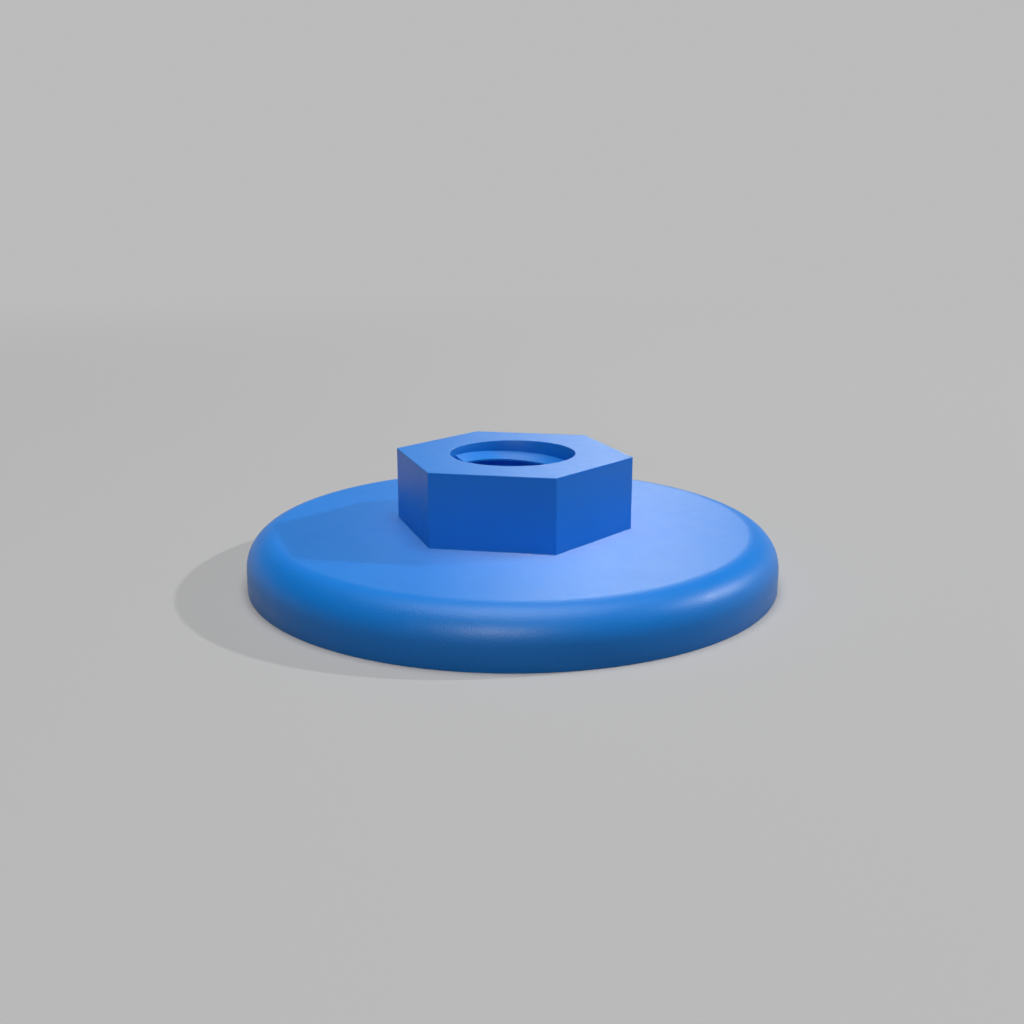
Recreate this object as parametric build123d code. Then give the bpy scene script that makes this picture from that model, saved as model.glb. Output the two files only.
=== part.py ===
from build123d import *
from build123d.topology import SkipClean
from math import ceil, cos, radians, tan
import os

# Trim clip nut, moulded in one piece: a wide round flange, a hexagon standing
# on it for a spanner, and a right-hand M6 thread through both.
# The origin is the centre of the flange's underside, with +Z up the bore and
# two corners of the hexagon on the X axis.

# Driving dimensions, in millimetres
flange_diameter = 25.5
flange_thickness = 2.5
flange_edge_radius = 1.5
hexagon_across_flats = 10.0
hexagon_height = 3.5
thread_major_diameter = 6.0
thread_pitch = 1.0
thread_crest_flat = 0.08
thread_relief = 0.36
thread_root_cover = 0.2

# Where the ridge of the thread stops below the top, in degrees from +X
thread_end_angle = 110

# The metric thread form: 60 degrees between the flanks, and a depth of five
# eighths of the sharp triangle's height
flank_half_angle = radians(30)
sharp_height = thread_pitch * cos(flank_half_angle)
thread_depth = sharp_height * 5 / 8

height = flange_thickness + hexagon_height
root_radius = thread_major_diameter / 2
crest_radius = root_radius - thread_depth
tip_radius = crest_radius - thread_crest_flat / 2 / tan(flank_half_angle)
embedded_radius = root_radius + thread_root_cover

# The ridge climbs from the relief at the underside to the relief at the top.
# It is made in arcs of up to a quarter turn, each lifted on from the last.
most_arcs_per_turn = 4
ridge_width = 2 * (root_radius - tip_radius) * tan(flank_half_angle)
ridge_rise = height - 2 * thread_relief - ridge_width
ridge_turns = ridge_rise / thread_pitch
arc_count = ceil(ridge_turns * most_arcs_per_turn)
arc_rise = ridge_rise / arc_count
arc_angle = 360 * ridge_turns / arc_count
ridge_start_height = thread_relief + ridge_width / 2
ridge_start_angle = thread_end_angle - 360 * ridge_turns

UPRIGHT = (Align.CENTER, Align.CENTER, Align.MIN)


def flange():
    """The round plate that bears on the trim, its upper edge rounded over."""
    plate = Cylinder(flange_diameter / 2, flange_thickness, align=UPRIGHT)
    upper_edge = plate.edges().filter_by(GeomType.CIRCLE).sort_by(Axis.Z)[-1]
    return fillet(upper_edge, flange_edge_radius)


def hexagon():
    """The spanner hexagon, rooted in the flange down to its underside."""
    outline = RegularPolygon(hexagon_across_flats / 2, 6, major_radius=False)
    return extrude(outline, height)


def ridge_arc():
    """One arc of the thread's ridge, its crest flat at the tapping size.

    The section is a sharp V that points at the bore's axis and is sunk in the
    wall behind it. Boring it out to the crest radius leaves the narrow flat.
    """
    half_width = (embedded_radius - tip_radius) * tan(flank_half_angle)
    section = Polyline(
        (tip_radius, 0, 0),
        (embedded_radius, 0, -half_width),
        (embedded_radius, 0, half_width),
        close=True,
    )
    climb = Helix(thread_pitch, arc_rise, root_radius)
    arc = sweep(make_face(section), path=climb, is_frenet=True)
    tapping_bore = Rot(Z=180) * Cylinder(crest_radius, 4 * thread_pitch)
    return arc - tapping_bore


def thread_ridge():
    """The arcs of the whole ridge, end to end up the bore."""
    arc = ridge_arc()
    arcs = []
    for n in range(arc_count):
        turned = Rot(Z=ridge_start_angle + n * arc_angle) * arc
        arcs.append(Pos(Z=ridge_start_height + n * arc_rise) * turned)
    return arcs


def trim_clip_nut():
    """Flange and hexagon in one, bored to the thread's root, with the ridge in the bore."""
    blank = flange() + hexagon() - Cylinder(root_radius, height, align=UPRIGHT)
    # unmerged, so that each arc's crest stays a face of its own
    with SkipClean():
        return blank.fuse(*thread_ridge())


os.makedirs("parts", exist_ok=True)
export_step(trim_clip_nut(), "parts/trim_clip_nut.step")
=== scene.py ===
from math import cos, pi, radians, sin, tan

import bpy
import bmesh
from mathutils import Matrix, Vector


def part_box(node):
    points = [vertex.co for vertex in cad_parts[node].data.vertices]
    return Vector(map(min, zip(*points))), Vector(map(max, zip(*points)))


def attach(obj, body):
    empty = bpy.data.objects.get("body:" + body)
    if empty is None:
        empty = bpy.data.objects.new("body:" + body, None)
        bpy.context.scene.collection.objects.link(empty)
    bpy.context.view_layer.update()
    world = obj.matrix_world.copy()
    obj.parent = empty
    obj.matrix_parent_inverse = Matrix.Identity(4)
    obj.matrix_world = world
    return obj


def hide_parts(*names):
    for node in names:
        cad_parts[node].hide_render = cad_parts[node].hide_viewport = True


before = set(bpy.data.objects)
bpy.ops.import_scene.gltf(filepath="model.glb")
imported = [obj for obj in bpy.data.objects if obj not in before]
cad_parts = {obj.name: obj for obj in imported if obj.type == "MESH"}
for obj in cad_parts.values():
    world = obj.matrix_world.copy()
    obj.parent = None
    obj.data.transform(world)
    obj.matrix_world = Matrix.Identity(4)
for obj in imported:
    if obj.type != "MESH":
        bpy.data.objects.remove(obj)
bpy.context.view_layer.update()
MM = 0.001

# The camera stands five centimetres in front of the nut and a little above it,
# with a normal lens, and looks at the middle of the hexagon.
bpy.ops.object.camera_add(
    location=(-39.99 * MM, -34.34 * MM, 17.07 * MM),
    rotation=(radians(75.093), 0, radians(-49.316)),
)
camera = bpy.context.object
camera.name = "camera"
camera.data.lens = 39.366
camera.data.sensor_width = 36
camera.data.clip_start = 1 * MM
bpy.context.scene.camera = camera
bpy.context.scene.view_settings.view_transform = "Standard"

# The flange is the wide round plate that clamps the trim. It is moulded in
# blue plastic with a flat underside, and its upper edge is a quarter round.
nut_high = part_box("trim_clip_nut")[1]
flange_radius = nut_high.x
flange_thickness = 2.5 * MM
flange_edge_radius = 1.5 * MM
flange_edge_steps = 18
flange_sides = 256


def start_piece(name):
    """Names the primitive that was just added and puts its place in its mesh."""
    piece = bpy.context.object
    piece.name = name
    piece.data.name = name
    bpy.ops.object.transform_apply(location=True, rotation=True, scale=True)
    return piece


def select_edges(piece, wanted):
    """In edit mode, selects the edges whose two ends both pass the test."""
    mesh = bmesh.from_edit_mesh(piece.data)
    for edge in mesh.edges:
        edge.select = all(wanted(end.co) for end in edge.verts)
    bmesh.update_edit_mesh(piece.data)


bpy.ops.object.select_all(action="DESELECT")
bpy.ops.mesh.primitive_cylinder_add(
    vertices=flange_sides,
    radius=flange_radius,
    depth=flange_thickness,
    location=(0, 0, flange_thickness / 2),
)
nut = start_piece("moulded_nut")
bpy.ops.object.mode_set(mode="EDIT")
bpy.ops.mesh.select_mode(type="EDGE")
bpy.ops.mesh.select_all(action="DESELECT")
select_edges(nut, lambda place: place.z > flange_thickness / 2)
bpy.ops.mesh.bevel(offset=flange_edge_radius, segments=flange_edge_steps, profile=0.5)
bpy.ops.object.mode_set(mode="OBJECT")

# The hexagon takes a spanner. It is moulded in one with the flange, so it is
# drawn from inside the flange upwards and joined to it.
nut_height = nut_high.z
hexagon_across_flats = 10.0 * MM
hexagon_root = flange_thickness / 2


def finish_modifier(piece, kind, **settings):
    """Puts a modifier on the piece with these settings, and applies it."""
    modifier = piece.modifiers.new(kind.lower(), kind)
    for setting, value in settings.items():
        setattr(modifier, setting, value)
    bpy.ops.object.select_all(action="DESELECT")
    piece.select_set(True)
    bpy.context.view_layer.objects.active = piece
    bpy.ops.object.modifier_apply(modifier=modifier.name)


def combine(piece, tool, operation):
    """Joins the tool to the piece or cuts it away, and deletes the tool."""
    finish_modifier(piece, "BOOLEAN", operation=operation, object=tool, solver="EXACT")
    bpy.data.objects.remove(tool)


bpy.ops.object.select_all(action="DESELECT")
bpy.ops.mesh.primitive_cylinder_add(
    vertices=6,
    radius=hexagon_across_flats / 2 / cos(pi / 6),
    depth=nut_height - hexagon_root,
    location=(0, 0, (nut_height + hexagon_root) / 2),
    rotation=(0, 0, pi / 6),
)
combine(nut, start_piece("hexagon"), "UNION")

# The bore is cored out at the size of the thread's root, and every corner of
# the moulding has the fine round that a mould leaves.
thread_root_radius = 3.0 * MM
turn_steps = 192
corner_round = 0.04 * MM
corner_steps = 2
corner_angle = radians(40)

bpy.ops.object.select_all(action="DESELECT")
bpy.ops.mesh.primitive_cylinder_add(
    vertices=turn_steps,
    radius=thread_root_radius,
    depth=2 * nut_height,
    location=(0, 0, nut_height / 2),
)
combine(nut, start_piece("core_pin"), "DIFFERENCE")
finish_modifier(
    nut,
    "BEVEL",
    width=corner_round,
    segments=corner_steps,
    limit_method="ANGLE",
    angle_limit=corner_angle,
)

# The thread is a right-hand ridge, 1 mm from turn to turn. Its section is a 60
# degree V with a narrow flat crest. Both its ends are blunt, and they stop
# short of the mouths, where the bore stays plain.
thread_pitch = 1.0 * MM
flank_angle = radians(30)
thread_depth = 5 / 8 * thread_pitch * cos(flank_angle)
thread_crest_flat = 0.08 * MM
thread_relief = 0.36 * MM
thread_end_step = 59  # of the steps round the bore, where the upper end stands
root_cover = 0.2 * MM
cut_tolerance = 0.0001 * MM
weld_distance = 0.002 * MM
smooth_angle = radians(30)
crest_radius = thread_root_radius - thread_depth
tip_radius = crest_radius - thread_crest_flat / 2 / tan(flank_angle)
ridge_width = 2 * (thread_root_radius - tip_radius) * tan(flank_angle)
section_height = thread_root_radius + root_cover - tip_radius
section_radius = 2 / 3 * section_height
lower_end = thread_relief + ridge_width / 2
ridge_steps = round(turn_steps * (nut_height - 2 * lower_end) / thread_pitch)
ridge_turns = ridge_steps / turn_steps

bpy.ops.object.select_all(action="DESELECT")
bpy.ops.mesh.primitive_circle_add(
    vertices=3,
    radius=section_radius,
    fill_type="NGON",
    location=(tip_radius + section_radius, 0, lower_end),
    rotation=(pi / 2, -pi / 2, 0),
)
ridge = start_piece("thread_ridge")
bpy.ops.object.mode_set(mode="EDIT")
bpy.ops.mesh.select_all(action="SELECT")
bpy.ops.mesh.bisect(
    plane_co=(crest_radius, 0, 0),
    plane_no=(1, 0, 0),
    clear_inner=True,
    threshold=cut_tolerance,
)
bpy.ops.mesh.select_all(action="SELECT")
bpy.ops.mesh.delete(type="ONLY_FACE")
bpy.ops.object.mode_set(mode="OBJECT")
finish_modifier(
    ridge,
    "SCREW",
    angle=2 * pi * ridge_turns,
    screw_offset=thread_pitch * ridge_turns,
    steps=ridge_steps,
    render_steps=ridge_steps,
)
bpy.ops.object.mode_set(mode="EDIT")
bpy.ops.mesh.select_all(action="SELECT")
bpy.ops.mesh.fill_holes(sides=4)
bpy.ops.mesh.select_all(action="SELECT")
bpy.ops.mesh.normals_make_consistent(inside=False)
bpy.ops.object.mode_set(mode="OBJECT")
ridge.rotation_euler.z = 2 * pi * ((thread_end_step - ridge_steps) % turn_steps) / turn_steps
combine(nut, ridge, "UNION")

# The join leaves corners at the thread's root that are double or lie amid an edge.
# These are welded or dropped, so that the nut is one clean skin.
bpy.ops.object.mode_set(mode="EDIT")
bpy.ops.mesh.select_mode(type="VERT")
bpy.ops.mesh.select_all(action="SELECT")
bpy.ops.mesh.remove_doubles(threshold=weld_distance)
bpy.ops.mesh.select_all(action="DESELECT")
joined = bmesh.from_edit_mesh(nut.data)
for corner in joined.verts:
    corner.select = len(corner.link_edges) == 2
bpy.ops.mesh.dissolve_verts()
bpy.ops.object.mode_set(mode="OBJECT")
bpy.ops.object.shade_smooth_by_angle(angle=smooth_angle)
finish_modifier(nut, "WEIGHTED_NORMAL", keep_sharp=True, mode="FACE_AREA")

# The plastic is coloured through in a strong blue. Its skin is satin, with the
# very fine grain of a spark-eroded mould and faint flow shades in the colour.
plastic_blue = (0.004, 0.225, 0.77)
flow_shade = 0.05
flow_per_metre = 260
skin_gloss = 0.4
satin_roughness = 0.41
roughness_spread = 0.05
sheen_patches_per_metre = 1400
grain_per_metre = 12000
grain_height = 0.009 * MM
plastic = bpy.data.materials.new("blue_plastic")
plastic.use_nodes = True
nodes = plastic.node_tree.nodes
links = plastic.node_tree.links
skin = nodes["Principled BSDF"]
skin.inputs["Specular IOR Level"].default_value = skin_gloss
place = nodes.new("ShaderNodeTexCoord")


def add_noise(scale, detail):
    """Cloudy noise on the piece's own coordinates, from 0 to 1."""
    noise = nodes.new("ShaderNodeTexNoise")
    noise.inputs["Scale"].default_value = scale
    noise.inputs["Detail"].default_value = detail
    links.new(place.outputs["Object"], noise.inputs["Vector"])
    return noise.outputs["Fac"]


flow = nodes.new("ShaderNodeMix")
flow.data_type = "RGBA"
flow.inputs["A"].default_value = (*[(1 - flow_shade) * part for part in plastic_blue], 1)
flow.inputs["B"].default_value = (*[(1 + flow_shade) * part for part in plastic_blue], 1)
links.new(add_noise(flow_per_metre, detail=3), flow.inputs["Factor"])
links.new(flow.outputs["Result"], skin.inputs["Base Color"])

satin = nodes.new("ShaderNodeMapRange")
satin.inputs["To Min"].default_value = satin_roughness - roughness_spread
satin.inputs["To Max"].default_value = satin_roughness + roughness_spread
links.new(add_noise(sheen_patches_per_metre, detail=2), satin.inputs["Value"])
links.new(satin.outputs["Result"], skin.inputs["Roughness"])

grain = nodes.new("ShaderNodeBump")
grain.inputs["Distance"].default_value = grain_height
links.new(add_noise(grain_per_metre, detail=2), grain.inputs["Height"])
links.new(grain.outputs["Normal"], skin.inputs["Normal"])

nut.data.materials.append(plastic)
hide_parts("trim_clip_nut")
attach(nut, "root")

# The nut stands on a plain pale floor, painted matt. Far off, the floor fades
# into the pale wall of the studio behind it.
floor_width = 4
floor_grey = 0.48
floor_bounce = 0.15
floor_roughness = 0.8
floor_gloss = 0.1
wall_grey = 0.5
fade_start = 0.03
fade_end = 0.2
bpy.ops.object.select_all(action="DESELECT")
bpy.ops.mesh.primitive_plane_add(size=floor_width)
floor = start_piece("floor")
floor_paint = bpy.data.materials.new("floor_paint")
floor_paint.use_nodes = True
nodes = floor_paint.node_tree.nodes
links = floor_paint.node_tree.links
floor_skin = nodes["Principled BSDF"]
floor_skin.inputs["Roughness"].default_value = floor_roughness
floor_skin.inputs["Specular IOR Level"].default_value = floor_gloss


def seen_rays():
    """1 on what the camera sees, also in a mirror or through glass, and else 0."""
    path = nodes.new("ShaderNodeLightPath")
    seen = path.outputs["Is Camera Ray"]
    for kind in ("Is Glossy Ray", "Is Transmission Ray"):
        either = nodes.new("ShaderNodeMath")
        either.operation = "MAXIMUM"
        links.new(seen, either.inputs[0])
        links.new(path.outputs[kind], either.inputs[1])
        seen = either.outputs["Value"]
    return seen


paint = nodes.new("ShaderNodeMix")
paint.data_type = "RGBA"
paint.inputs["A"].default_value = (floor_bounce, floor_bounce, floor_bounce, 1)
paint.inputs["B"].default_value = (floor_grey, floor_grey, floor_grey, 1)
links.new(seen_rays(), paint.inputs["Factor"])
links.new(paint.outputs["Result"], floor_skin.inputs["Base Color"])

place = nodes.new("ShaderNodeTexCoord")
distance = nodes.new("ShaderNodeVectorMath")
distance.operation = "LENGTH"
links.new(place.outputs["Object"], distance.inputs[0])
fade = nodes.new("ShaderNodeMapRange")
fade.interpolation_type = "SMOOTHSTEP"
fade.inputs["From Min"].default_value = fade_start
fade.inputs["From Max"].default_value = fade_end
links.new(distance.outputs["Value"], fade.inputs["Value"])
far_off = nodes.new("ShaderNodeMath")
far_off.operation = "MULTIPLY"
links.new(fade.outputs["Result"], far_off.inputs[0])
links.new(seen_rays(), far_off.inputs[1])
haze = nodes.new("ShaderNodeEmission")
haze.inputs["Color"].default_value = (wall_grey, wall_grey, wall_grey, 1)
blend = nodes.new("ShaderNodeMixShader")
links.new(far_off.outputs["Value"], blend.inputs["Fac"])
links.new(floor_skin.outputs["BSDF"], blend.inputs[1])
links.new(haze.outputs["Emission"], blend.inputs[2])
links.new(blend.outputs["Shader"], nodes["Material Output"].inputs["Surface"])
floor.data.materials.append(floor_paint)

# The studio's walls are pale at eye level and darker towards the ceiling. They
# give the nut next to no light, which is left to the lamps.
room_grey = 0.035
wall_rise = 0.17
ceiling_rise = 0.24
studio = bpy.data.worlds.new("studio")
studio.use_nodes = True
bpy.context.scene.world = studio
nodes = studio.node_tree.nodes
links = studio.node_tree.links
background = nodes["Background"]
place = nodes.new("ShaderNodeTexCoord")
upward = nodes.new("ShaderNodeSeparateXYZ")
links.new(place.outputs["Generated"], upward.inputs["Vector"])
level = nodes.new("ShaderNodeMapRange")
level.interpolation_type = "SMOOTHSTEP"
level.inputs["From Min"].default_value = wall_rise
level.inputs["From Max"].default_value = ceiling_rise
level.inputs["To Min"].default_value = 1
level.inputs["To Max"].default_value = 0
links.new(upward.outputs["Z"], level.inputs["Value"])
wall_seen = nodes.new("ShaderNodeMath")
wall_seen.operation = "MULTIPLY"
links.new(level.outputs["Result"], wall_seen.inputs[0])
links.new(seen_rays(), wall_seen.inputs[1])
shade = nodes.new("ShaderNodeMix")
shade.data_type = "RGBA"
shade.inputs["A"].default_value = (room_grey, room_grey, room_grey, 1)
shade.inputs["B"].default_value = (wall_grey, wall_grey, wall_grey, 1)
links.new(wall_seen.outputs["Value"], shade.inputs["Factor"])
links.new(shade.outputs["Result"], background.inputs["Color"])


# Four lamps light the nut: a small one from the right, a soft one in front, a
# wide one overhead, and a low one behind for the sheen on its tops. A fifth, in
# front, only shows as gloss on the flange's rounded edge.
def add_softbox(name, azimuth, elevation, width, power):
    """A square lamp that faces the nut from this direction, in degrees."""
    lamp_distance = 0.6
    turn = radians(azimuth)
    rise = radians(elevation)
    aim = Vector((cos(turn) * cos(rise), sin(turn) * cos(rise), sin(rise)))
    bpy.ops.object.light_add(type="AREA", location=lamp_distance * aim)
    lamp = bpy.context.object
    lamp.name = name
    lamp.rotation_euler = aim.to_track_quat("Z", "Y").to_euler()
    lamp.data.size = width
    lamp.data.energy = power
    return lamp


add_softbox("key_lamp", azimuth=-35.3, elevation=30.4, width=0.015, power=1.3)
add_softbox("front_lamp", azimuth=213, elevation=32.7, width=0.1, power=0.62)
add_softbox("overhead_lamp", azimuth=0, elevation=89.5, width=0.4, power=2.65)
rim_lamp = add_softbox("rim_lamp", azimuth=33.8, elevation=26.7, width=0.1, power=0.42)
rim_lamp.data.use_shadow = False
rim_lamp.data.cycles.use_multiple_importance_sampling = False
sheen_lamp = add_softbox("sheen_lamp", azimuth=213, elevation=30.5, width=0.16, power=0.85)
sheen_lamp.visible_diffuse = False
